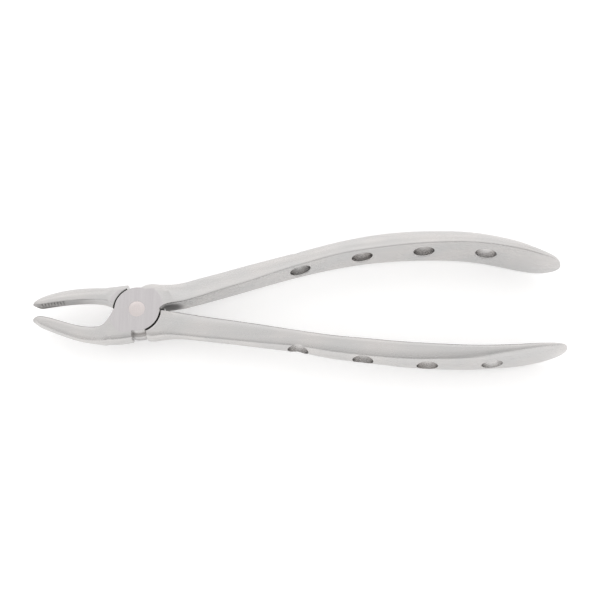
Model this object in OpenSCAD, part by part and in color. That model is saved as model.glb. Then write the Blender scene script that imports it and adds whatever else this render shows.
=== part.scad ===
// Dental extraction forceps. Two forged halves cross in a lap joint and turn on one flush rivet.
// The front half carries the front cheek, the lower beak and the upper handle. The back half carries
// the back cheek, the upper beak and the lower handle. Each handle has four countersunk grip holes.
// Frame: the origin is on the pivot axis in the flat back face of the joint, +Z runs along that axis
// to the front face, +X runs from the pivot to the handles and -X to the beaks. Millimetres.

/* [Joint] */
// Thickness of the joint between its two flat faces
joint_t = 9; // [8.6:0.2:9.6]
// Radius of the round cheek of the front half
cheek_r = 7.35; // [7.2:0.05:7.4]
// Radius of the round cheek of the back half
back_cheek_r = 8.3; // [8:0.05:8.4]
// Gap between a cheek and the shoulders around it
cheek_gap = 0.35; // [0.3:0.05:0.4]
// Clearance between the two lapped faces
lap_gap = 0.1; // [0.06:0.02:0.16]
// Chamfer around the rim of a cheek
cheek_chamfer = 0.2; // [0.1:0.05:0.3]

/* [Rivet] */
// Radius of the rivet shank
shank_r = 2; // [1.8:0.1:2.2]
// Radius of the flush rivet head
head_r = 2.6; // [2.4:0.1:2.8]
// Thickness of the head on the front side
head_t = 1.5; // [1.2:0.1:2]
// Depth of the peened cone on the back side
peen_t = 1.2; // [0.8:0.1:1.6]
// Radial clearance where the front half turns on the rivet
run_gap = 0.05; // [0.03:0.01:0.08]

/* [Beaks] */
// Half width of a beak across its biting face
beak_half_w = 3; // [2.8:0.05:3.2]
// Depth of the gouge along the biting face at the tip
gouge = 1.1; // [0.8:0.1:1.2]
// Distance between the serrations
tooth_pitch = 1; // [0.8:0.1:1.2]
// Depth of a serration
tooth_depth = 0.3; // [0.2:0.05:0.35]
// Length of the serrated stretch
tooth_run = 8; // [6:1:9]

/* [Handles] */
// Twist of each grip about its own length, in degrees
grip_twist = 7; // [5:0.5:9]
// Radius of a grip hole
hole_r = 3; // [2.6:0.1:3.2]
// Depth and widening of its countersink in the inner face
sink = 0.6; // [0.4:0.05:0.8]
// Depth and widening of its countersink at the crown of the outer face
crown_sink = 0.4; // [0.2:0.05:0.5]
// Number of grip holes in each handle
holes = 4; // [2:1:4]

/* [Hidden] */
$fn = 96;

mid_z = joint_t / 2;
flat_inset = 0.25;              // how far the forged surfaces lie below the ground joint faces
root_half_w = mid_z - flat_inset;
handle_flat_r = 8.7;            // the ground flat ends on these arcs
beak_flat_r = 9.3;
eps = 0.01;

// ---- Shape tables: each row starts with the distance from the pivot along X ----
// Handles: distance, height of the inner face, half width, depth, squareness, share of the twist
upper_handle = [
    [0.6, -0.1, root_half_w, 8.1, 1, 0],
    [1.6, -0.1, root_half_w, 8.85, 1, 0],
    [3.2, -0.1, root_half_w, 9.3, 1, 0],
    [5, -0.1, root_half_w, 9.4, 1, 0],
    [7, 0, root_half_w, 9.1, 1, 0],
    [7.6, 0.8, root_half_w, 8.3, 1, 0],
    [8.8, 1.6, 4.25, 7.5, 0.9, 0.05],
    [11.5, 2.15, 4, 7.35, 0.6, 0.35],
    [15, 2.7, 3.75, 7.75, 0.25, 0.75],
    [19, 3.8, 3.6, 8.1, 0, 1],
    [27, 6.25, 4.05, 7.75, 0, 1],
    [37, 9.35, 4.2, 7.5, 0, 1],
    [47, 12.6, 4.8, 6.75, 0, 1],
    [54, 14.65, 5.15, 6.5, 0, 1],
    [66, 17.75, 5.85, 6.5, 0, 1],
    [80, 19.95, 6.2, 6.9, 0, 1],
    [96, 21.15, 7, 6.5, 0, 1],
    [112, 20.75, 7.8, 5.85, 0, 1],
    [125, 18.45, 8.4, 5, 0, 1],
    [132, 16.8, 8.7, 4.3, 0, 1],
    [138.6, 15.8, 8.8, 3.7, 0, 1]];
lower_handle = [
    [2.9, -0.3, root_half_w, 8.9, 1, 0],
    [5, -0.3, root_half_w, 9.1, 1, 0],
    [7.3, -0.35, root_half_w, 8.75, 1, 0],
    [9.2, -0.6, 4.2, 8.3, 0.9, 0.05],
    [11.5, -0.8, 4, 8.1, 0.6, 0.35],
    [15, -1.25, 3.6, 7.95, 0.25, 0.75],
    [20, -2.05, 3.45, 7.8, 0, 1],
    [30, -3.65, 3.8, 7.25, 0, 1],
    [38, -4.9, 4.05, 6.9, 0, 1],
    [46, -6.35, 4.5, 6.3, 0, 1],
    [53.5, -7.65, 4.8, 5.85, 0, 1],
    [61, -8.95, 5.3, 6.05, 0, 1],
    [77, -10.7, 5.7, 6.35, 0, 1],
    [86, -11.75, 6.3, 6.25, 0, 1],
    [96, -12.65, 7, 5.8, 0, 1],
    [109, -13.45, 7.8, 4.9, 0, 1],
    [117, -13.6, 8.4, 4, 0, 1],
    [125, -13.4, 8.8, 3.2, 0, 1],
    [132, -12.8, 9, 2.8, 0, 1],
    [139.5, -11.9, 9.1, 2.5, 0, 1]];

// Beaks: distance, height of the biting face, half width, depth, squareness, share of the gouge
upper_beak = [
    [3.5, 0.3, root_half_w, 8.55, 1, 0],
    [7.2, 0.3, root_half_w, 8.05, 1, 0],
    [7.8, 0.4, root_half_w, 7.85, 1, 0],
    [8.1, 1.4, 4.25, 6.8, 1, 0],
    [8.5, 2.2, 4.2, 5.95, 0.95, 0],
    [9.3, 2.8, 4.1, 5.35, 0.85, 0],
    [11, 3.3, 3.8, 4.75, 0.6, 0],
    [13.5, 3.6, 3.4, 4.6, 0.3, 0],
    [18.5, 3.5, beak_half_w, 4.6, 0.05, 0.2],
    [25, 2.9, beak_half_w, 4.3, 0, 0.7],
    [29, 2.35, beak_half_w, 3.8, 0, 0.95],
    [34.7, 1.35, beak_half_w, 2.5, 0, 1]];
lower_beak = [
    [1.5, -0.45, root_half_w, 9.35, 1, 0],
    [5.5, -0.45, root_half_w, 9.95, 1, 0],
    [7.8, -0.5, root_half_w, 10.05, 1, 0],
    [8.2, -1.5, 4.25, 9.05, 1, 0],
    [9, -2.85, 4.2, 7.7, 0.9, 0],
    [10.2, -4.5, 4, 6.3, 0.75, 0],
    [12, -5.45, 3.7, 5.25, 0.5, 0],
    [14, -5.6, 3.4, 4.9, 0.3, 0],
    [18.5, -5, beak_half_w, 4.8, 0.05, 0.2],
    [25, -3.25, beak_half_w, 4.5, 0, 0.7],
    [29, -2.1, beak_half_w, 4.1, 0, 0.95],
    [34.4, -1.3, beak_half_w, 2.6, 0, 1]];

// First grip hole and the pitch along X: the two handles differ a little
upper_holes = [54.6, 20.1];
lower_holes = [53.2, 20.6];

// Lengths of the round ends
grip_end = 18;
beak_end = 3.2;

// ---- Curves: a table is read anywhere along X through a smooth curve in all its columns ----
function rate(k, i) = (k[i + 1] - k[i]) / (k[i + 1][0] - k[i][0]);
function slope(k, i) =
    i == 0 ? rate(k, 0) :
    i == len(k) - 1 ? rate(k, i - 1) :
    let (before = k[i][0] - k[i - 1][0], after = k[i + 1][0] - k[i][0])
    (rate(k, i - 1) * after + rate(k, i) * before) / (before + after);
function span(k, x, i = 0) = i >= len(k) - 2 || x <= k[i + 1][0] ? i : span(k, x, i + 1);
function at(k, x) =
    let (i = span(k, x), h = k[i + 1][0] - k[i][0], u = (x - k[i][0]) / h)
    (1 + 2 * u) * pow(1 - u, 2) * k[i] + u * pow(1 - u, 2) * h * slope(k, i)
    + u * u * (3 - 2 * u) * k[i + 1] - u * u * (1 - u) * h * slope(k, i + 1);
function last(k) = k[len(k) - 1][0];

// ---- Sections: u runs 0 to 1 around the outside, from the front edge to the back edge ----
// Grip: curved flanks up to a crease, then a flatter dome. Each point is [across, out], in units of 1.
crease = [0.62, 0.84];
flank_pull = 0.5;
flank_share = 0.3;
function flank(v) =
    let (w = 1 - v) w * w * [1, 0] + 2 * v * w * [1, flank_pull] + v * v * crease;
function dome(v) =
    let (c = crease[0] * (1 - 2 * v)) [c, 1 - (1 - crease[1]) * pow(c / crease[0], 2)];
function grip_point(u) =
    u < flank_share ? flank(u / flank_share) :
    u > 1 - flank_share ? let (p = flank((1 - u) / flank_share)) [-p[0], p[1]] :
    dome((u - flank_share) / (1 - 2 * flank_share));
// A rounded form: power 2 is an ellipse, a high power nearly a box
function round_point(u, power) =
    let (c = cos(180 * u), s = sin(180 * u))
    [sign(c) * pow(abs(c), 2 / power), pow(abs(s), 2 / power)];
box_power = 7;
beak_power = 2.3;

// Full to zero over the round end of a handle or a beak
function end_round(s, power) = s <= 0 ? 1 : pow(1 - pow(min(s, 1), power), 1 / power);

// ---- Lofts ----
// Joins rings of equal length into one closed skin, with a fan of triangles over each end
function middle(ring) = [for (i = [0:len(ring) - 1]) 1] * ring / len(ring);
module skin(rings) {
    n = len(rings[0]);
    top = len(rings) - 1;
    first_middle = n * (top + 1);
    last_middle = first_middle + 1;
    points = concat([for (r = rings, p = r) p], [middle(rings[0]), middle(rings[top])]);
    faces = [for (j = [0:n - 1]) let (k = (j + 1) % n) each [
        [first_middle, k, j],
        for (i = [0:top - 1]) [i * n + j, i * n + k, (i + 1) * n + k, (i + 1) * n + j],
        [last_middle, top * n + j, top * n + k]]];
    polyhedron(points = points, faces = faces, convexity = 8);
}

grip_sides = 20;
// One ring of a handle at distance x; side is 1 for the upper handle and -1 for the lower one
function grip_ring(k, x, side) =
    let (r = at(k, x), s = (x - last(k) + grip_end) / grip_end, full = end_round(s, 2.3),
         a = r[2] * full, d = r[3] * (0.3 + 0.7 * full), turn = grip_twist * r[5],
         ring = [for (i = [0:grip_sides])
            let (u = i / grip_sides,
                 p = (1 - r[4]) * grip_point(u) + r[4] * round_point(u, box_power),
                 t = p[0] * a, out = p[1] * d)
            [x, r[1] + t * sin(turn) + side * out * cos(turn),
             mid_z + t * cos(turn) - side * out * sin(turn)]])
    side > 0 ? ring : [for (i = [grip_sides:-1:0]) ring[i]];

root_steps = 1.1;
grip_step = 3.6;
function grip_stations(k) =
    let (start = k[0][0], root_end = 16, round_start = last(k) - grip_end)
    concat([for (x = [start:root_steps:root_end]) x],
           [for (x = [root_end + grip_step / 2:grip_step:round_start]) x],
           [for (a = [4:8:84]) round_start + grip_end * sin(a)],
           [last(k) - 0.04]);

module handle(k, side) skin([for (x = grip_stations(k)) grip_ring(k, x, side)]);

beak_sides = 16;
biting_sides = 8;
// One ring of a beak at distance x; notch is 1 in the bottom of a serration
function beak_ring(k, x, side, notch) =
    let (r = at(k, x), s = (x - last(k) + beak_end) / beak_end, full = end_round(s, 2),
         a = r[2] * full, cut = gouge * r[5],
         rim = cut * (1 - full * full),
         d = rim + (r[3] - rim) * (0.35 + 0.65 * full),
         outer = [for (i = [0:beak_sides])
            let (u = i / beak_sides,
                 p = (1 - r[4]) * round_point(u, beak_power) + r[4] * round_point(u, box_power))
            [p[0] * a, rim + p[1] * (d - rim)]],
         biting = [for (i = [1:biting_sides - 1])
            let (c = a * (2 * i / biting_sides - 1))
            [c, cut * (1 - pow(c / r[2], 2)) + tooth_depth * notch]],
         ring = [for (p = concat(outer, biting)) [-x, r[1] + side * p[1], mid_z + p[0]]],
         n = len(ring))
    side > 0 ? [for (i = [n - 1:-1:0]) ring[i]] : ring;

// Stations of a beak: [distance, notch]
function beak_stations(k) =
    let (start = k[0][0], round_start = last(k) - beak_end, teeth_start = round_start - tooth_run,
         teeth = floor(tooth_run / tooth_pitch))
    concat([for (x = [start, 5.5, 7, 7.6, 7.8, 7.95, 8.1, 8.3, 8.5, 8.9, 9.3, 10, 11, 12.2, 13.5]) [x, 0]],
           [for (x = [15.3:1.9:teeth_start - 0.5]) [x, 0]],
           [for (i = [0:teeth - 1]) each [
               [teeth_start + i * tooth_pitch, 0],
               [teeth_start + (i + 0.5) * tooth_pitch, 1]]],
           [for (a = [0:15:75]) [round_start + beak_end * sin(a), 0]],
           [[last(k) - 0.02, 0]]);

module beak(k, side) skin([for (s = beak_stations(k)) beak_ring(k, s[0], side, s[1])]);

// ---- Joint ----
// The ground flat of a root: the part of the circle r that lies on the root, a little inside its rim,
// from the height bottom up to the front face
module ground_flat(k, way, side, r, bottom) {
    rim = 0.9;
    start = k[0][0];
    near = [for (x = [start + eps:0.5:r]) [way * x, at(k, x)[1] + side * 0.15]];
    far = [for (x = [start + eps:0.5:r]) let (q = at(k, x)) [way * x, q[1] + side * (q[3] - rim)]];
    n = len(far);
    translate([0, 0, bottom])
        linear_extrude(joint_t - bottom)
            intersection() {
                circle(r);
                polygon(concat(near, [for (i = [n - 1:-1:0]) far[i]]));
            }
}

// A round cheek, chamfered on its outer face, standing up from the lap plane
module cheek(r) {
    h = mid_z - lap_gap / 2;
    cylinder(r = r, h = h - cheek_chamfer);
    translate([0, 0, h - cheek_chamfer])
        cylinder(r1 = r, r2 = r - cheek_chamfer, h = cheek_chamfer);
}

// One countersunk grip hole of a handle at distance x
module grip_hole(k, x, side) {
    r = at(k, x);
    ahead = at(k, x + 1);
    behind = at(k, x - 1);
    lean = atan2(ahead[1] - behind[1], ahead[0] - behind[0]);
    translate([x, r[1], mid_z])
        rotate([0, 0, lean])
            rotate([-side * grip_twist, 0, 0])
                rotate([-side * 90, 0, 0]) {
                    translate([0, 0, -1]) cylinder(r = hole_r, h = r[3] + 2);
                    translate([0, 0, -eps]) cylinder(r1 = hole_r + sink + eps, r2 = hole_r, h = sink);
                    translate([0, 0, r[3] - crown_sink])
                        cylinder(r1 = hole_r, r2 = hole_r + 1, h = 1);
                }
}

module grip_holes(k, first, side)
    for (i = [0:holes - 1]) grip_hole(k, first[0] + i * first[1], side);

// ---- The three pieces ----
module front_half() {
    color("silver")
    difference() {
        union() {
            difference() {
                union() {
                    handle(upper_handle, 1);
                    beak(lower_beak, -1);
                    ground_flat(upper_handle, 1, 1, handle_flat_r, mid_z);
                    ground_flat(lower_beak, -1, -1, beak_flat_r, mid_z);
                }
                translate([0, 0, -1])
                    cylinder(r = back_cheek_r + cheek_gap, h = mid_z + 1 + lap_gap / 2);
            }
            translate([0, 0, mid_z + lap_gap / 2]) cheek(cheek_r);
        }
        translate([0, 0, mid_z - 1]) cylinder(r = shank_r + run_gap, h = joint_t);
        translate([0, 0, joint_t - head_t - run_gap])
            cylinder(r = head_r + run_gap, h = head_t + 1);
        grip_holes(upper_handle, upper_holes, 1);
    }
}

module back_half() {
    color("silver")
    difference() {
        union() {
            difference() {
                union() {
                    handle(lower_handle, -1);
                    beak(upper_beak, 1);
                    ground_flat(lower_handle, 1, -1, handle_flat_r, 0);
                    ground_flat(upper_beak, -1, 1, beak_flat_r, 0);
                }
                translate([0, 0, mid_z - lap_gap / 2])
                    cylinder(r = cheek_r + cheek_gap, h = joint_t);
            }
            translate([0, 0, mid_z - lap_gap / 2]) mirror([0, 0, 1]) cheek(back_cheek_r);
        }
        translate([0, 0, -1]) cylinder(r = shank_r, h = joint_t);
        cylinder(r1 = head_r, r2 = shank_r, h = peen_t);
        grip_holes(lower_handle, lower_holes, -1);
    }
}

module pivot_rivet() {
    color("gainsboro") {
        cylinder(r1 = head_r, r2 = shank_r, h = peen_t);
        cylinder(r = shank_r, h = joint_t - head_t);
        translate([0, 0, joint_t - head_t]) cylinder(r = head_r, h = head_t);
    }
}

front_half();
back_half();
pivot_rivet();
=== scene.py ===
"""Extraction forceps: two forged steel halves, crossed in a lap joint and riveted, on a pale table.

The halves are modelled the way they are made. Each handle and each beak is drawn out of a ring,
section by section, and the two are joined. The recess for the other half's cheek is cut, the half's
own cheek is put in, the joint is ground flat on both faces, and the rivet bore and the grip holes
are drilled last.
"""

import math

import bmesh
import bpy
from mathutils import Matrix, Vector


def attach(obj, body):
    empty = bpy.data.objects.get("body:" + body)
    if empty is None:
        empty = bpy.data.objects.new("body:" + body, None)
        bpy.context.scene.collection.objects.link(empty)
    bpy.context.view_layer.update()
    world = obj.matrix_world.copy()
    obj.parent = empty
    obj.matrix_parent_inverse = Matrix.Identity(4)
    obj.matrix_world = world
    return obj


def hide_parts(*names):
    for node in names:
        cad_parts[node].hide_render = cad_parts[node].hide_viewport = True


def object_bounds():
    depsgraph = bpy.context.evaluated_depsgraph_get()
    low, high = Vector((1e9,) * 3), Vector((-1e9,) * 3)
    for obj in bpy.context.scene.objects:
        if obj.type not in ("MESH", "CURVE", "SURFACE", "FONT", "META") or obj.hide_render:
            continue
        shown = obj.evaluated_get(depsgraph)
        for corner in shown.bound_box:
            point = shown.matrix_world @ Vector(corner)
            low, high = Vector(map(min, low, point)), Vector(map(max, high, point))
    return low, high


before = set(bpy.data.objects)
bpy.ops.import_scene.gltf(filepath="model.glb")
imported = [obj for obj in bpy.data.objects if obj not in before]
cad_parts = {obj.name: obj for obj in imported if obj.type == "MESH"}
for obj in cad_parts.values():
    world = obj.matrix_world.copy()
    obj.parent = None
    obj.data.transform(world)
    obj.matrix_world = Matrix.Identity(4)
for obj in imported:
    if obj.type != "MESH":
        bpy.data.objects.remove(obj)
cad_low, cad_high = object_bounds()

MM = 0.001

# ---- Joint, in millimetres: the origin is on the pivot axis, in the back face of the joint ----
JOINT_T = 9
MID_Z = JOINT_T / 2
CHEEK_R = 7.35          # front half's cheek
BACK_CHEEK_R = 8.3      # back half's cheek
CHEEK_GAP = 0.35
LAP_GAP = 0.1
SHANK_R = 2
HEAD_R = 2.6
HEAD_T = 1.5
PEEN_T = 1.2
RUN_GAP = 0.05
ROOT_W = 5.05           # half width of the forged root, before it is ground to the thickness
FRONT_FLAT = (8.85, -0.35)      # radius of the ground flat, and how far its centre is off the pivot
BACK_FLAT = (8.78, -0.37)
PROUD = 0.4             # how far a cheek stands proud before it is ground

# ---- Handles: distance from the pivot, height of the inner face, half width, depth,
# ---- squareness, share of the twist
UPPER_HANDLE = [
    (-1.2, -0.1, ROOT_W, 7.2, 1, 0),
    (0.6, -0.1, ROOT_W, 8.1, 1, 0),
    (1.6, -0.1, ROOT_W, 8.75, 1, 0),
    (3.2, -0.1, ROOT_W, 9.3, 1, 0),
    (5, -0.1, ROOT_W, 9.4, 1, 0),
    (7, 0, ROOT_W, 9.1, 1, 0),
    (7.6, 0.8, ROOT_W, 8.3, 1, 0),
    (8.8, 1.6, 4.8, 7.5, 0.9, 0.05),
    (11.5, 2.15, 4.2, 7.35, 0.6, 0.35),
    (15, 2.7, 3.75, 7.75, 0.25, 0.75),
    (19, 3.8, 3.6, 8.1, 0, 1),
    (27, 6.25, 4.05, 7.75, 0, 1),
    (37, 9.35, 4.2, 7.5, 0, 1),
    (47, 12.6, 4.8, 6.75, 0, 1),
    (54, 14.65, 5.15, 6.5, 0, 1),
    (66, 17.75, 5.85, 6.5, 0, 1),
    (80, 19.95, 6.2, 6.9, 0, 1),
    (96, 21.15, 7, 6.5, 0, 1),
    (112, 20.75, 7.8, 5.85, 0, 1),
    (125, 18.45, 8.4, 5, 0, 1),
    (132, 16.8, 8.7, 4.3, 0, 1),
    (139.3, 15.7, 8.8, 3.7, 0, 1),
]
LOWER_HANDLE = [
    (2.9, -0.3, ROOT_W, 8.9, 1, 0),
    (5, -0.3, ROOT_W, 9.1, 1, 0),
    (7.3, -0.35, ROOT_W, 8.75, 1, 0),
    (9.2, -0.6, 4.75, 8.3, 0.9, 0.05),
    (11.5, -0.8, 4.15, 8.1, 0.6, 0.35),
    (15, -1.25, 3.6, 7.95, 0.25, 0.75),
    (20, -2.05, 3.45, 7.8, 0, 1),
    (30, -3.65, 3.8, 7.25, 0, 1),
    (38, -4.9, 4.05, 6.9, 0, 1),
    (46, -6.35, 4.5, 6.3, 0, 1),
    (53.5, -7.65, 4.8, 5.85, 0, 1),
    (61, -8.95, 5.3, 6.05, 0, 1),
    (77, -10.7, 5.7, 6.35, 0, 1),
    (86, -11.75, 6.3, 6.25, 0, 1),
    (96, -12.65, 7, 5.8, 0, 1),
    (109, -13.45, 7.8, 4.9, 0, 1),
    (117, -13.6, 8.4, 4, 0, 1),
    (125, -13.4, 8.8, 3.2, 0, 1),
    (132, -12.8, 9, 2.8, 0, 1),
    (139.5, -11.9, 9.1, 2.5, 0, 1),
]
TWIST = 7               # degrees
GRIP_END = 18           # length of the round end
HOLE_R = 3.4
HOLES = 4
UPPER_HOLES = (53.1, 20.6)      # distance of the first hole from the pivot, and the pitch
LOWER_HOLES = (53.2, 20.6)

# ---- Beaks: distance from the pivot, height of the biting face, half width, depth, squareness,
# ---- share of the gouge
BEAK_W = 3
UPPER_BEAK = [
    (3.5, 0.3, ROOT_W, 8.55, 1, 0),
    (7.2, 0.3, ROOT_W, 8.05, 1, 0),
    (7.8, 0.4, ROOT_W, 7.85, 1, 0),
    (8.1, 1.4, ROOT_W, 6.8, 1, 0),
    (8.5, 2.2, 4.95, 5.95, 0.95, 0),
    (9.3, 2.8, 4.7, 5.35, 0.85, 0),
    (11, 3.3, 4.05, 4.75, 0.6, 0),
    (13.5, 3.6, 3.4, 4.6, 0.3, 0),
    (18.5, 3.5, BEAK_W, 4.6, 0.05, 0.2),
    (25, 2.9, BEAK_W, 4.3, 0, 0.7),
    (29, 2.35, BEAK_W, 3.8, 0, 0.95),
    (34.7, 1.35, BEAK_W, 2.5, 0, 1),
]
LOWER_BEAK = [
    (1.5, -0.45, ROOT_W, 9.35, 1, 0),
    (5.5, -0.45, ROOT_W, 9.95, 1, 0),
    (7.8, -0.5, ROOT_W, 10.05, 1, 0),
    (8.2, -1.5, ROOT_W, 9.05, 1, 0),
    (9, -2.85, 4.9, 7.7, 0.9, 0),
    (10.2, -4.5, 4.55, 6.3, 0.75, 0),
    (12, -5.45, 3.95, 5.25, 0.5, 0),
    (14, -5.6, 3.4, 4.9, 0.3, 0),
    (18.5, -5, BEAK_W, 4.8, 0.05, 0.2),
    (25, -3.25, BEAK_W, 4.5, 0, 0.7),
    (29, -2.1, BEAK_W, 4.1, 0, 0.95),
    (34.4, -1.3, BEAK_W, 2.6, 0, 1),
]
BEAK_END = 3.2          # length of the round tip
GOUGE = 1.1             # depth of the hollow along a biting face
TOOTH_PITCH = 1
TOOTH_DEPTH = 0.38
TOOTH_RUN = 9
TOOTH_END = 1.2         # smooth stretch between the last serration and the tip


# ---- Reading a table anywhere along its length, on a smooth curve through its rows ----
def blend_rows(a, b, share_a, share_b):
    return [share_a * p + share_b * q for p, q in zip(a, b)]


def rate(rows, i):
    run = rows[i + 1][0] - rows[i][0]
    return blend_rows(rows[i + 1], rows[i], 1 / run, -1 / run)


def slope(rows, i):
    if i == 0:
        return rate(rows, 0)
    if i == len(rows) - 1:
        return rate(rows, i - 1)
    before = rows[i][0] - rows[i - 1][0]
    after = rows[i + 1][0] - rows[i][0]
    both = before + after
    return blend_rows(rate(rows, i - 1), rate(rows, i), after / both, before / both)


def at(rows, x):
    i = 0
    while i < len(rows) - 2 and x > rows[i + 1][0]:
        i += 1
    run = rows[i + 1][0] - rows[i][0]
    u = (x - rows[i][0]) / run
    away = 1 - u
    ends = blend_rows(rows[i], rows[i + 1], (1 + 2 * u) * away ** 2, u * u * (3 - 2 * u))
    leans = blend_rows(slope(rows, i), slope(rows, i + 1), u * away ** 2 * run, -u * u * away * run)
    return [p + q for p, q in zip(ends, leans)]


# ---- Sections: half outlines from the front edge round to the back edge, as (across, out) ----
CREASE = (0.62, 0.89)   # where a flank meets the crown
FLANK_PULL = 0.5        # how straight a flank leaves the inner face
FLANK_SHARE = 0.32      # share of the points on each flank
BOX_POWER = 3.6         # squareness of a root
BEAK_POWER = 2.3        # squareness of a beak
END_POWER = 2.3         # squareness of a handle's round end, seen from the inner face
TUCK = 0.13             # how far the flanks of a beak draw in again towards the biting face
TUCK_RATE = 4.5         # how soon they are at full width, against the share of the points


def flank(v):
    w = 1 - v
    return (w * w + 2 * v * w + v * v * CREASE[0], 2 * v * w * FLANK_PULL + v * v * CREASE[1])


def dome(v):
    c = CREASE[0] * (1 - 2 * v)
    return (c, 1 - (1 - CREASE[1]) * (c / CREASE[0]) ** 2)


def grip_outline(u):
    if u < FLANK_SHARE:
        return flank(u / FLANK_SHARE)
    if u > 1 - FLANK_SHARE:
        c, out = flank((1 - u) / FLANK_SHARE)
        return (-c, out)
    return dome((u - FLANK_SHARE) / (1 - 2 * FLANK_SHARE))


def round_outline(u, power):
    c, s = math.cos(math.pi * u), math.sin(math.pi * u)
    return (math.copysign(abs(c) ** (2 / power), c), abs(s) ** (2 / power))


def end_round(s, power):
    return 1 if s <= 0 else max(1 - min(s, 1) ** power, 0) ** (1 / power)


GRIP_STEPS = 26
INNER_STEPS = 8
EDGE_STEPS = 3
EDGES = {1: 0.42, -1: 0.95}     # radius of the broken edge of an inner face, upper and lower
ROOT_EDGE = 0.6         # how much of that radius a square root gives up
CROWN_EASE = 0.2        # how much the flatter crown lets the depth come down
END_DEPTH = 0.3         # share of the depth left where a handle ends


def grip_ring(rows, x, side):
    """One section of a handle at distance x. side is 1 for the upper handle and -1 for the lower.

    The points run over the outside from front to back, round the back edge, along the inner face
    and round the front edge.
    """
    _, face, width, depth, square, twist = at(rows, x)
    full = end_round((x - rows[-1][0] + GRIP_END) / GRIP_END, END_POWER)
    width *= full
    depth = (depth - CROWN_EASE * (1 - square)) * (END_DEPTH + (1 - END_DEPTH) * full)
    edge = min(EDGES[side] * (1 - ROOT_EDGE * square), 0.35 * width, 0.3 * depth)
    points = []
    for i in range(GRIP_STEPS + 1):
        u = i / GRIP_STEPS
        grip, box = grip_outline(u), round_outline(u, BOX_POWER)
        across = ((1 - square) * grip[0] + square * box[0]) * width
        out = edge + ((1 - square) * grip[1] + square * box[1]) * (depth - edge)
        points.append((across, out))
    rounding = []
    for i in range(1, EDGE_STEPS + 1):
        bend = math.radians(90 * i / EDGE_STEPS)
        rounding.append((width - edge + edge * math.cos(bend), edge - edge * math.sin(bend)))
    points += [(-across, out) for across, out in rounding]
    points += [((2 * i / INNER_STEPS - 1) * (width - edge), 0) for i in range(1, INNER_STEPS)]
    points += rounding[::-1]
    turn = math.radians(TWIST * twist)
    return [
        (x, face + t * math.sin(turn) + side * out * math.cos(turn),
         MID_Z + t * math.cos(turn) - side * out * math.sin(turn))
        for t, out in points
    ]


def steps(start, end, size):
    """Even steps of about size from start up to end, without end itself."""
    count = max(1, round((end - start) / size))
    return [start + (end - start) * i / count for i in range(count)]


def grip_stations(rows):
    """Where the sections of a handle stand: close together at the root and round the end."""
    start, end = rows[0][0], rows[-1][0]
    root_end, round_start = 16, end - GRIP_END
    stations = steps(start, root_end, 0.8) + steps(root_end, round_start, 2.2)
    stations += [round_start + GRIP_END * math.sin(math.radians(a)) for a in range(0, 90, 6)]
    return stations + [end - 0.02]


BEAK_STEPS = 24
BITE_STEPS = 10
BITE_EDGE = 0.18        # broken edge of a biting face
TIP_DEPTH = 0.35        # share of the depth left where a beak ends
TOOTH_CREST = 0.22      # half length of the flat between two serrations


def beak_ring(rows, x, side, notch):
    """One section of a beak at distance x. side is 1 for the upper beak and -1 for the lower, and
    notch is 1 in the bottom of a serration. The points run over the outside from front to back, and
    return along the gouged biting face.
    """
    _, face, width, depth, square, gouged = at(rows, x)
    full = end_round((x - rows[-1][0] + BEAK_END) / BEAK_END, 2)
    reach = width * full
    cut = GOUGE * gouged
    rim = cut * (1 - full * full)
    depth = rim + (depth - rim) * (TIP_DEPTH + (1 - TIP_DEPTH) * full)
    edge = min(BITE_EDGE, 0.3 * reach)
    tuck = TUCK * (1 - square)
    lip = reach * (1 - tuck)
    points = []
    for i in range(BEAK_STEPS + 1):
        u = i / BEAK_STEPS
        oval, box = round_outline(u, BEAK_POWER), round_outline(u, BOX_POWER)
        across = ((1 - square) * oval[0] + square * box[0]) * reach
        across *= 1 - tuck * max(1 - TUCK_RATE * min(u, 1 - u), 0) ** 2
        out = rim + ((1 - square) * oval[1] + square * box[1]) * (depth - rim)
        if i in (0, BEAK_STEPS):
            out += edge
        points.append((across, out))
    for i in range(BITE_STEPS + 1):
        across = (2 * i / BITE_STEPS - 1) * (lip - edge)
        hollow = cut * (1 - (across / width) ** 2) - rim
        ends = 0 if i in (0, BITE_STEPS) else 1
        points.append((across, rim + hollow + TOOTH_DEPTH * notch * ends))
    return [(-x, face + side * out, MID_Z + across) for across, out in points]


def beak_stations(rows):
    """Where the sections of a beak stand, each with its notch: closest at the edge of the joint."""
    start, end = rows[0][0], rows[-1][0]
    round_start = end - BEAK_END
    teeth_start = end - TOOTH_END - TOOTH_RUN
    plain = steps(start, 7, 0.8) + steps(7, 9.4, 0.2) + steps(9.4, 14, 0.6)
    plain += steps(14, teeth_start - TOOTH_PITCH / 2, 1.2)
    stations = [(x, 0) for x in plain]
    for i in range(round(TOOTH_RUN / TOOTH_PITCH)):
        tooth = teeth_start + i * TOOTH_PITCH
        stations += [(tooth - TOOTH_CREST, 0), (tooth + TOOTH_CREST, 0), (tooth + TOOTH_PITCH / 2, 1)]
    tip = [round_start + BEAK_END * math.sin(math.radians(a)) for a in range(0, 90, 10)]
    return stations + [(x, 0) for x in tip if x > stations[-1][0] + 0.2] + [(end - 0.01, 0)]


# ---- Modelling ----
def deselect():
    """Leaves edit mode and selects nothing."""
    if bpy.context.object and bpy.context.object.mode != "OBJECT":
        bpy.ops.object.mode_set(mode="OBJECT")
    bpy.ops.object.select_all(action="DESELECT")


def only(piece):
    """Selects piece alone and makes it the active object."""
    deselect()
    piece.select_set(True)
    bpy.context.view_layer.objects.active = piece


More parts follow.
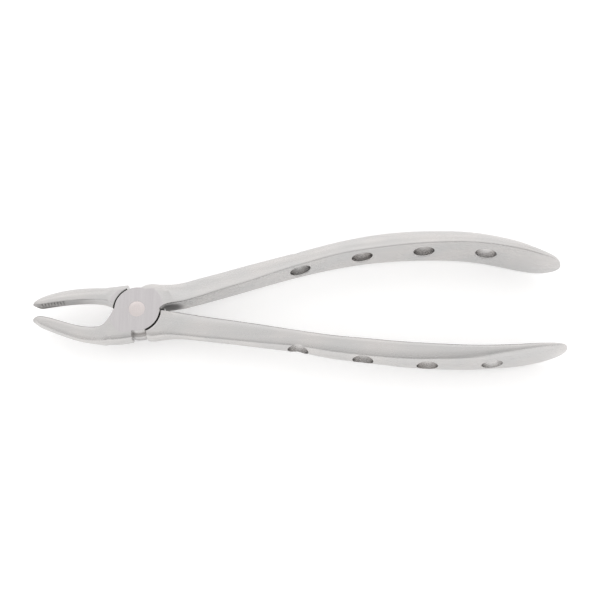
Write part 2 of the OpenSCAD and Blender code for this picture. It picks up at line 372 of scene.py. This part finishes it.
def draw_out(name, rings):
    """A closed form drawn out of a ring: each extrusion takes the shape of the next section.

    Its two ends are closed by a face that is inset and gathered to a point.
    """
    deselect()
    bpy.ops.mesh.primitive_circle_add(vertices=len(rings[0]), radius=MM)
    piece = bpy.context.object
    piece.name = name
    for vertex, point in zip(piece.data.vertices, rings[0]):
        vertex.co = Vector(point) * MM
    bpy.ops.object.mode_set(mode="EDIT")
    bpy.ops.mesh.select_all(action="SELECT")
    bpy.ops.mesh.edge_face_add()
    bpy.ops.mesh.inset(thickness=0.3 * MM)
    bpy.ops.mesh.merge(type="COLLAPSE")
    # The first ring's own vertices are the only ones selected, and each knows its place in the ring
    shape = bmesh.from_edit_mesh(piece.data)
    for face in shape.faces:
        face.select_set(False)
    for vertex in shape.verts:
        vertex.select_set(vertex.index < len(rings[0]))
    for edge in shape.edges:
        edge.select_set(all(v.index < len(rings[0]) for v in edge.verts))
    bmesh.update_edit_mesh(piece.data)
    place = {tuple(v.co): i for i, v in enumerate(shape.verts) if v.index < len(rings[0])}
    for ring in rings[1:]:
        bpy.ops.mesh.extrude_edges_move()
        shape = bmesh.from_edit_mesh(piece.data)
        moved = {}
        for vertex in shape.verts:
            if vertex.select:
                i = place[tuple(vertex.co)]
                vertex.co = Vector(ring[i]) * MM
                moved[tuple(vertex.co)] = i
        bmesh.update_edit_mesh(piece.data)
        place = moved
    bpy.ops.mesh.edge_face_add()
    bpy.ops.mesh.inset(thickness=0.002 * MM)
    bpy.ops.mesh.merge(type="COLLAPSE")
    bpy.ops.mesh.select_all(action="SELECT")
    bpy.ops.mesh.normals_make_consistent(inside=False)
    bpy.ops.object.mode_set(mode="OBJECT")
    return piece


def finish_with(piece, kind, **settings):
    """Adds a modifier of that kind to piece and applies it."""
    only(piece)
    modifier = piece.modifiers.new(kind.title(), kind)
    for key, value in settings.items():
        setattr(modifier, key, value)
    bpy.ops.object.modifier_apply(modifier=modifier.name)
    return piece


def combine(piece, tool, operation):
    """Joins tool to piece or cuts it out of piece, and takes the tool away."""
    finish_with(piece, "BOOLEAN", operation=operation, object=tool, solver="EXACT")
    bpy.data.objects.remove(tool)
    return piece


def turned(name, outline, sides=160):
    """A solid turned on the Z axis from its outline of (radius, height), given from the bottom up."""
    deselect()
    radius, height = outline[0]
    bpy.ops.mesh.primitive_circle_add(
        vertices=sides, radius=radius * MM, fill_type="NGON", location=(0, 0, height * MM))
    piece = bpy.context.object
    piece.name = name
    bpy.ops.object.mode_set(mode="EDIT")
    bpy.ops.mesh.select_all(action="SELECT")
    for (r0, z0), (r1, z1) in zip(outline, outline[1:]):
        bpy.ops.mesh.extrude_region_move(TRANSFORM_OT_translate={"value": (0, 0, (z1 - z0) * MM)})
        if r1 != r0:
            bpy.ops.transform.resize(value=(r1 / r0, r1 / r0, 1), center_override=(0, 0, z1 * MM))
    bpy.ops.mesh.select_all(action="SELECT")
    bpy.ops.mesh.normals_make_consistent(inside=False)
    bpy.ops.object.mode_set(mode="OBJECT")
    settle(piece)
    return piece


def settle(piece):
    """Puts a piece's place and turn into its mesh."""
    only(piece)
    bpy.ops.object.transform_apply(location=True, rotation=True, scale=True)


def rim_curve(radius, height, size, count=5):
    """The outline of a rounded rim that flares out from radius and reaches height."""
    return [
        (radius + size * (1 - math.cos(math.radians(90 * i / count))),
         height - size + size * math.sin(math.radians(90 * i / count)))
        for i in range(count + 1)
    ]


def face_grinder(flat_r, shift):
    """Grinds the joint flat inside flat_r and relieves the roots around it. shift moves its centre."""
    relief = [(flat_r, 0), (flat_r + 0.25, -0.04), (flat_r + 0.8, -0.13), (flat_r + 1.8, -0.24),
              (flat_r + 3.2, -0.32), (flat_r + 7, -0.1), (flat_r + 12, 0.2), (flat_r + 12, 4)]
    tool = turned("grinder", [(r, JOINT_T + z) for r, z in relief], 160)
    tool.location.x = shift * MM
    settle(tool)
    return tool


def turned_over(tool):
    """The same tool, mirrored to the back face of the joint."""
    only(tool)
    bpy.ops.transform.mirror(constraint_axis=(False, False, True), center_override=(0, 0, MID_Z * MM))
    settle(tool)
    bpy.ops.object.mode_set(mode="EDIT")
    bpy.ops.mesh.select_all(action="SELECT")
    bpy.ops.mesh.normals_make_consistent(inside=False)
    bpy.ops.object.mode_set(mode="OBJECT")
    return tool


INNER_SINK = 0.5        # size of a hole's rounded countersink in the inner face
CROWN_SINK = 0.25       # and at the crown


def hole_tool(rows, x, side):
    """A drill with a rounded countersink at the inner face and a smaller one at the crown."""
    _, face, _, depth, _, _ = at(rows, x)
    ahead, behind = at(rows, x + 1), at(rows, x - 1)
    lean = math.atan2(ahead[1] - behind[1], ahead[0] - behind[0])
    inner = [(r, -h) for r, h in rim_curve(HOLE_R, 0.02, INNER_SINK)][::-1]
    crown = rim_curve(HOLE_R, depth + 0.05, CROWN_SINK)
    outline = [(inner[0][0], inner[0][1] - 1)] + inner + crown + [(crown[-1][0] + 0.6, depth + 1.2)]
    tool = turned("drill", outline, 72)
    only(tool)
    tool.rotation_euler = (math.radians(-90 * side - TWIST), 0, 0)
    settle(tool)
    tool.rotation_euler = (0, 0, lean)
    tool.location = (x * MM, face * MM, MID_Z * MM)
    settle(tool)
    return tool


def half(name, handle, beak, flat, recess, cheek, bore, holes):
    """One half of the forceps.

    handle and beak are (rows, side), flat is (radius, shift of its centre), recess, cheek and bore
    are outlines to turn, and holes is (first distance, pitch).
    """
    rows, side = handle
    piece = draw_out(name, [grip_ring(rows, x, side) for x in grip_stations(rows)])
    finish_with(piece, "SUBSURF", levels=1, render_levels=1)
    beak_rows, beak_side = beak
    sections = [beak_ring(beak_rows, x, beak_side, notch) for x, notch in beak_stations(beak_rows)]
    combine(piece, draw_out("beak", sections), "UNION")
    combine(piece, turned("recess", recess), "DIFFERENCE")
    combine(piece, turned("cheek", cheek), "UNION")
    combine(piece, face_grinder(*flat), "DIFFERENCE")
    combine(piece, turned_over(face_grinder(*flat)), "DIFFERENCE")
    combine(piece, turned("bore", bore), "DIFFERENCE")
    for i in range(HOLES):
        combine(piece, hole_tool(rows, holes[0] + i * holes[1], side), "DIFFERENCE")
    return piece


LAP_TOP = MID_Z + LAP_GAP / 2
LAP_LOW = MID_Z - LAP_GAP / 2
RIM = 0.18              # broken edge of the cheeks
SHOULDER = 0.7          # rounded edge of the recess in front
FRONT_RECESS_R = BACK_CHEEK_R + CHEEK_GAP
BACK_RECESS_R = CHEEK_R + CHEEK_GAP
SEAT_R = HEAD_R + 0.012         # bore round the rivet head, which shows as a fine line

front = half(
    "front_half_forged", (UPPER_HANDLE, 1), (LOWER_BEAK, -1), FRONT_FLAT,
    recess=[(FRONT_RECESS_R + RIM, -1)] + [(r, -h) for r, h in rim_curve(FRONT_RECESS_R, 0, RIM)][::-1]
    + [(FRONT_RECESS_R, LAP_TOP)],
    cheek=[(CHEEK_R, LAP_TOP), (CHEEK_R, JOINT_T - RIM), (CHEEK_R - 0.05, JOINT_T - 0.07),
           (CHEEK_R - RIM, JOINT_T), (CHEEK_R - RIM, JOINT_T + PROUD)],
    bore=[(SHANK_R + RUN_GAP, 3), (SHANK_R + RUN_GAP, JOINT_T - HEAD_T - RUN_GAP),
          (HEAD_R + RUN_GAP, JOINT_T - HEAD_T - RUN_GAP), (HEAD_R + RUN_GAP, JOINT_T - 0.4),
          (SEAT_R, JOINT_T - 0.3), (SEAT_R, JOINT_T + 1)],
    holes=UPPER_HOLES)

back = half(
    "back_half_forged", (LOWER_HANDLE, -1), (UPPER_BEAK, 1), BACK_FLAT,
    recess=[(BACK_RECESS_R, LAP_LOW)] + rim_curve(BACK_RECESS_R, JOINT_T, SHOULDER)
    + [(BACK_RECESS_R + SHOULDER, JOINT_T + 1)],
    cheek=[(BACK_CHEEK_R - RIM, -PROUD), (BACK_CHEEK_R - RIM, 0), (BACK_CHEEK_R - 0.05, 0.07),
           (BACK_CHEEK_R, RIM), (BACK_CHEEK_R, LAP_LOW)],
    bore=[(HEAD_R + 0.2, -0.1), (HEAD_R, 0), (SHANK_R, PEEN_T), (SHANK_R, LAP_LOW + 1)],
    holes=LOWER_HOLES)

rivet = turned("flush_rivet", [
    (HEAD_R - 0.08, 0), (HEAD_R - 0.12, 0.12), (SHANK_R, PEEN_T), (SHANK_R, JOINT_T - HEAD_T),
    (HEAD_R, JOINT_T - HEAD_T), (HEAD_R, JOINT_T - 0.03), (HEAD_R - 0.05, JOINT_T - 0.01),
    (0.4 * HEAD_R, JOINT_T)])

SLIVER = 0.002 * MM     # vertices this close are merged
SMOOTH_ANGLE = 32       # degrees

for piece in (front, back, rivet):
    only(piece)
    bpy.ops.object.mode_set(mode="EDIT")
    bpy.ops.mesh.select_all(action="SELECT")
    bpy.ops.mesh.remove_doubles(threshold=SLIVER)
    bpy.ops.mesh.dissolve_degenerate(threshold=SLIVER)
    bpy.ops.object.mode_set(mode="OBJECT")
    bpy.ops.object.shade_smooth_by_angle(angle=math.radians(SMOOTH_ANGLE))
    # The ground faces of the joint are flat right to their borders
    for face in piece.data.polygons:
        from_middle = abs(face.center.z / MM - MID_Z)
        if abs(face.normal.z) > 0.9999 and abs(from_middle - MID_Z) < 0.003:
            face.use_smooth = False


# ---- Materials ----
class Value:
    """A socket with the sums that shader maths needs."""

    def __init__(self, kit, socket):
        self.kit, self.socket = kit, socket

    def __add__(self, other):
        return self.kit.maths("ADD", self, other)

    def __radd__(self, other):
        return self.kit.maths("ADD", other, self)

    def __sub__(self, other):
        return self.kit.maths("SUBTRACT", self, other)

    def __rsub__(self, other):
        return self.kit.maths("SUBTRACT", other, self)

    def __mul__(self, other):
        return self.kit.maths("MULTIPLY", self, other)

    def __rmul__(self, other):
        return self.kit.maths("MULTIPLY", other, self)


class Kit:
    """Builds nodes in one node tree."""

    def __init__(self, tree):
        self.tree = tree

    def node(self, kind, settings=None, sockets=None, output=0):
        """Adds a node: its settings first, then the values or links of its sockets."""
        made = self.tree.nodes.new(kind)
        for key, value in (settings or {}).items():
            setattr(made, key, value)
        for key, value in (sockets or {}).items():
            self.link(value, made.inputs[key])
        return Value(self, made.outputs[output])

    def link(self, value, target):
        if isinstance(value, Value):
            self.tree.links.new(value.socket, target)
        else:
            target.default_value = value

    def maths(self, operation, a, b=0.0):
        return self.node("ShaderNodeMath", {"operation": operation}, {0: a, 1: b})

    def place(self, scale=(1, 1, 1), centre=(0, 0, 0)):
        """The place on the object, from centre, stretched by scale."""
        spot = self.node("ShaderNodeTexCoord", output=3)
        moved = self.node("ShaderNodeVectorMath", {"operation": "SUBTRACT"}, {0: spot, 1: centre})
        return self.node("ShaderNodeVectorMath", {"operation": "MULTIPLY"}, {0: moved, 1: scale})

    def length(self, vector):
        return self.node("ShaderNodeVectorMath", {"operation": "LENGTH"}, {0: vector}, output=1)

    def axis(self, vector, letter):
        return self.node("ShaderNodeSeparateXYZ", None, {0: vector}, output="XYZ".index(letter))

    def noise(self, where, scale, detail=2.0, roughness=0.5):
        return self.node("ShaderNodeTexNoise", None,
                         {"Vector": where, "Scale": scale, "Detail": detail, "Roughness": roughness})

    def spread(self, value, low, high, to_low=0.0, to_high=1.0, step="LINEAR"):
        """Spreads value from low..high to to_low..to_high, and holds it there outside them."""
        return self.node(
            "ShaderNodeMapRange", {"interpolation_type": step},
            {"Value": value, "From Min": low, "From Max": high, "To Min": to_low, "To Max": to_high})

    def mix(self, factor, a, b):
        """Colour a where factor is 0, and b where it is 1."""
        return self.node("ShaderNodeMix", {"data_type": "RGBA"}, {0: factor, 6: a, 7: b}, output=2)


class Finish(Kit):
    """A new material on the plain surface shader."""

    def __init__(self, name):
        self.material = bpy.data.materials.new(name)
        self.material.use_nodes = True
        super().__init__(self.material.node_tree)
        self.surface = next(n for n in self.tree.nodes if n.type == "BSDF_PRINCIPLED")

    def set(self, **sockets):
        """Gives values or links to the surface shader's sockets."""
        for key, value in sockets.items():
            self.link(value, self.surface.inputs[key.replace("_", " ")])


# Colours of the steel
FORGED_COOL = (0.560, 0.555, 0.552, 1)
FORGED_WARM = (0.605, 0.588, 0.578, 1)
BRUSHED = (0.505, 0.498, 0.495, 1)
# painted shade between the beaks, on their biting faces and at the tips
PAINTED_BITE_SHADE = (0.34, 0.332, 0.328, 1)
GROUND_DARK = (0.545, 0.525, 0.535, 1)
GROUND_LIGHT = (0.575, 0.555, 0.563, 1)
# painted shade for the corner between the handle roots
PAINTED_CORNER_SHADE = (0.08, 0.078, 0.075, 1)
PEENED_DARK = (0.63, 0.582, 0.576, 1)
PEENED_LIGHT = (0.665, 0.616, 0.606, 1)

# Grain: how often it changes in a metre, along X, Y and Z
BRUSH_LINES = (22, 620, 620)
FINE_LINES = (70, 2400, 2400)
GRINDING_LINES = (1500, 60, 60)
PEENED_LINES = (1100, 60, 60)


def joint_face(s, height):
    """1 on the ground flats: close to the front or the back plane of the joint, and to the pivot."""
    middle_z = MID_Z * MM
    on_face = s.spread(height, middle_z - 0.05 * MM, middle_z - 0.02 * MM)
    from_axis = s.length(s.place((1, 1, 0)))
    return on_face * (1 - s.spread(from_axis, 9.6 * MM, 10.4 * MM))


def corner_shade_mask(s):
    """1 deep in the corner between the handle roots, where shade is painted into the colour and the
    steel is made rougher.
    """
    from_corner = s.length(s.place((0.55, 1, 0.75), (10.2 * MM, 0.9 * MM, 3.6 * MM)))
    corner = 1 - s.spread(from_corner, 1.8 * MM, 3.6 * MM, step="SMOOTHSTEP")
    return corner * (1 - s.spread(s.axis(s.place(), "Z"), 8 * MM, 8.7 * MM))


def bite_shade_and_filing(s, height):
    """1 between the beaks, on the biting faces and their edges, and 0.55 at the tips: it darkens them
    with painted shade, and makes the filed faces rougher.
    """
    x, y = s.axis(s.place(), "X"), s.axis(s.place(), "Y")
    # The two faces as lines along the beaks, bowed out across the beaks to hold the gouge
    upper = (s.spread(x, -18 * MM, -27 * MM, 3.55 * MM, 2.65 * MM)
             - s.spread(x, -27 * MM, -34.7 * MM, 0, 1.3 * MM))
    lower = (s.spread(x, -18 * MM, -29 * MM, -5.1 * MM, -2.1 * MM)
             + s.spread(x, -29 * MM, -34.4 * MM, 0, 0.8 * MM))
    across = height * (1 / (2.9 * MM))
    bow = (1 - s.maths("MINIMUM", across * across, 1.0)) * (1.3 * MM)
    under_upper = 1 - s.spread(y - upper - bow, 0.1 * MM, 0.4 * MM)
    over_lower = 1 - s.spread(lower - y - bow, 0.1 * MM, 0.4 * MM)
    along = s.spread(x, -13 * MM, -20 * MM)
    tips = s.spread(x, -32.4 * MM, -34 * MM, 0, 0.55)
    return s.maths("MAXIMUM", under_upper * over_lower * along, tips)


def satin_steel():
    """Forged stainless steel, satin brushed along its length, ground finer on the flats of the joint."""
    s = Finish("satin_steel")
    lines = s.noise(s.place(BRUSH_LINES), 1.0, 3.0, 0.65)
    fine = s.noise(s.place(FINE_LINES), 1.0, 2.0, 0.5)
    grinding = s.noise(s.place(GRINDING_LINES), 1.0, 2.0, 0.6)
    cloud = s.noise(s.place(), 60.0, 3.0)
    blush = s.noise(s.place((0.6, 1, 1)), 140.0, 1.0)
    height = s.maths("ABSOLUTE", s.axis(s.place(centre=(0, 0, MID_Z * MM)), "Z"))
    ground, corner, bite = joint_face(s, height), corner_shade_mask(s), bite_shade_and_filing(s, height)

    forged = s.mix(s.spread(blush, 0.35, 0.65), FORGED_COOL, FORGED_WARM)
    forged = s.mix(s.spread(lines, 0.38, 0.72) * 0.35, forged, BRUSHED)
    # Painted shade darkens the biting faces between the beaks and the tips
    forged = s.mix(bite * 0.8, forged, PAINTED_BITE_SHADE)
    flat = s.mix(s.spread(grinding, 0.3, 0.7), GROUND_DARK, GROUND_LIGHT)
    colour = s.mix(ground, forged, flat)
    # The corner between the handle roots is darkened with painted shade
    s.set(Base_Color=s.mix(corner * 0.85, colour, PAINTED_CORNER_SHADE), Metallic=1.0)

    rough = 0.2 + s.spread(cloud, 0.3, 0.7, 0, 0.06)
    rough = rough + s.spread(fine, 0.3, 0.7, 0, 0.07) * (1 - ground)
    s.set(Roughness=rough + corner * 0.2 + bite * 0.12)

    grain = (lines + fine * 0.6) * (1 - ground) + grinding * ground * 0.5
    relief = {"Strength": 0.16, "Distance": 0.04 * MM, "Height": grain}
    s.set(Normal=s.node("ShaderNodeBump", None, relief))
    return s.material


def rivet_steel():
    """A slightly warmer and lighter steel, peened and ground flush."""
    s = Finish("rivet_steel")
    turning = s.noise(s.place(PEENED_LINES), 1.0, 2.0, 0.6)
    cloud = s.noise(s.place(), 300.0, 2.0)
    s.set(Base_Color=s.mix(cloud, PEENED_DARK, PEENED_LIGHT), Metallic=1.0)
    s.set(Roughness=s.spread(turning, 0.3, 0.7, 0.24, 0.32))
    relief = {"Strength": 0.12, "Distance": 0.03 * MM, "Height": turning}
    s.set(Normal=s.node("ShaderNodeBump", None, relief))
    return s.material


steel, rivet_finish = satin_steel(), rivet_steel()
for piece, body, node, slot, finish in (
    (front, "front_side", "front_half", "satin_steel", steel),
    (back, "back_side", "back_half", "satin_steel", steel),
    (rivet, "back_side", "pivot_rivet", "rivet_steel", rivet_finish),
):
    piece.data.materials.clear()
    piece.data.materials.append(finish)
    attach(piece, body)
    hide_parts(node)

# ---- Table, light and camera ----
TABLE_SIZE = 4000 * MM
TABLE_DROP = 0.2 * MM   # how far the table lies under the lowest point

deselect()
bpy.ops.mesh.primitive_plane_add(size=TABLE_SIZE, location=(50 * MM, 0, cad_low.z - TABLE_DROP))
floor = bpy.context.object
floor.name = "table"
pale = Finish("pale_table")
cloud = pale.noise(pale.place(), 6.0)
pale.set(Base_Color=pale.mix(cloud, (0.9, 0.9, 0.9, 1), (0.92, 0.92, 0.92, 1)), Roughness=0.9)
pale.set(Specular_IOR_Level=0.1, Emission_Color=(1, 1, 1, 1), Emission_Strength=0.24)
floor.data.materials.append(pale.material)

# The studio: a white tent, brighter overhead and low at the back, darker low in front
world = bpy.data.worlds.new("studio")
bpy.context.scene.world = world
world.use_nodes = True
tent = Kit(world.node_tree)
backwards = tent.axis(tent.node("ShaderNodeTexCoord"), "Y")


def ease(low, high, amount):
    """A soft change of the light by amount, as the direction turns from low to high towards the back."""
    return tent.spread(backwards, low, high, 0, amount, "SMOOTHSTEP")


glow = 1.04 + ease(0.3, 0.52, 0.22) - ease(0.6, 0.82, 0.12) + ease(0.87, 0.97, 0.13)
glow = glow - ease(-0.4, -0.86, 0.18) - ease(-0.86, -1, 0.24)
tint = tent.node("ShaderNodeCombineColor", None, {0: glow, 1: glow * 0.992, 2: glow * 0.986})
background = world.node_tree.nodes["Background"]
tent.link(tint, background.inputs[0])
background.inputs[1].default_value = 1.0

bpy.context.scene.view_settings.view_transform = "Standard"

CAMERA_TILT = 17        # degrees from straight down
CAMERA_AWAY = 360 * MM
LENS = 65.06            # on a sensor 36 mm wide
AIM = Vector((52.9, 0, 0)) * MM
RISE = 5.49 * MM        # how far the middle of the view lies above the pivot axis
tilt = math.radians(CAMERA_TILT)
up = Vector((0, math.cos(tilt), math.sin(tilt)))
away = Vector((0, -math.sin(tilt), math.cos(tilt)))
bpy.ops.object.camera_add(location=AIM + up * RISE + away * CAMERA_AWAY, rotation=(tilt, 0, 0))
camera = bpy.context.object
camera.data.sensor_width = 36
camera.data.lens = LENS
camera.data.clip_start = 0.01
bpy.context.scene.camera = camera
